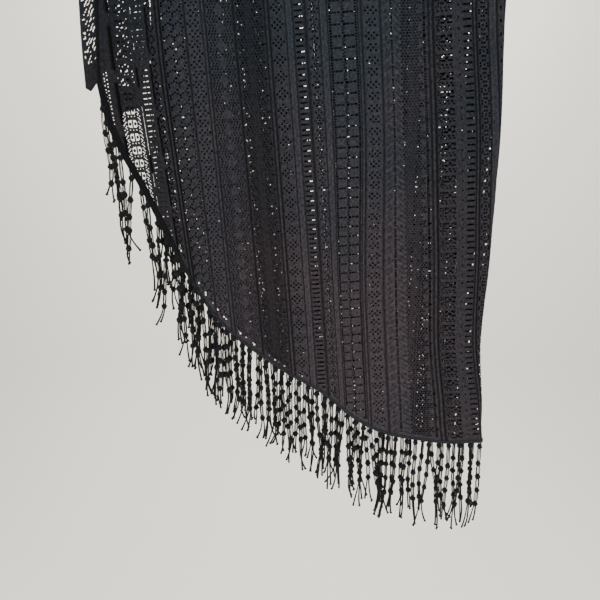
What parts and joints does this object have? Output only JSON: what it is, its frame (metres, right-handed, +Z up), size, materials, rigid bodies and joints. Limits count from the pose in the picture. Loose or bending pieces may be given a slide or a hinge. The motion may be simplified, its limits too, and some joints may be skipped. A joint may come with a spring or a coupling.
{
  "type": "wrap sarong",
  "caption": "Black lace-knit wrap sarong with rounded, fringed front corners and waist ties, folded in half and hanging by its waistband.",
  "frame": {"origin": "middle of the waistband's top edge, between the front and back halves, where the wearer's waist or a hand holds the wrap", "axes": "+Z up, -Y the way the front half faces, +X towards the fold that joins the two halves"},
  "size_m": [0.4929, 0.0214, 1.0042],
  "materials": {
    "lace_knit": "matt black lace knit with plain ribs between openwork stripes",
    "rib_band": "matt black close knit",
    "fringe_cord": "matt black twisted cord with knots"
  },
  "bodies": {
    "root": {"lace_front": "lace_knit", "lace_back": "lace_knit", "waistband_front": "rib_band", "waistband_back": "rib_band", "hem_band_front": "rib_band", "hem_band_back": "rib_band", "fringe_front": "fringe_cord", "fringe_back": "fringe_cord", "tie_front": "lace_knit", "tie_back": "lace_knit"}
  },
  "joints": []
}
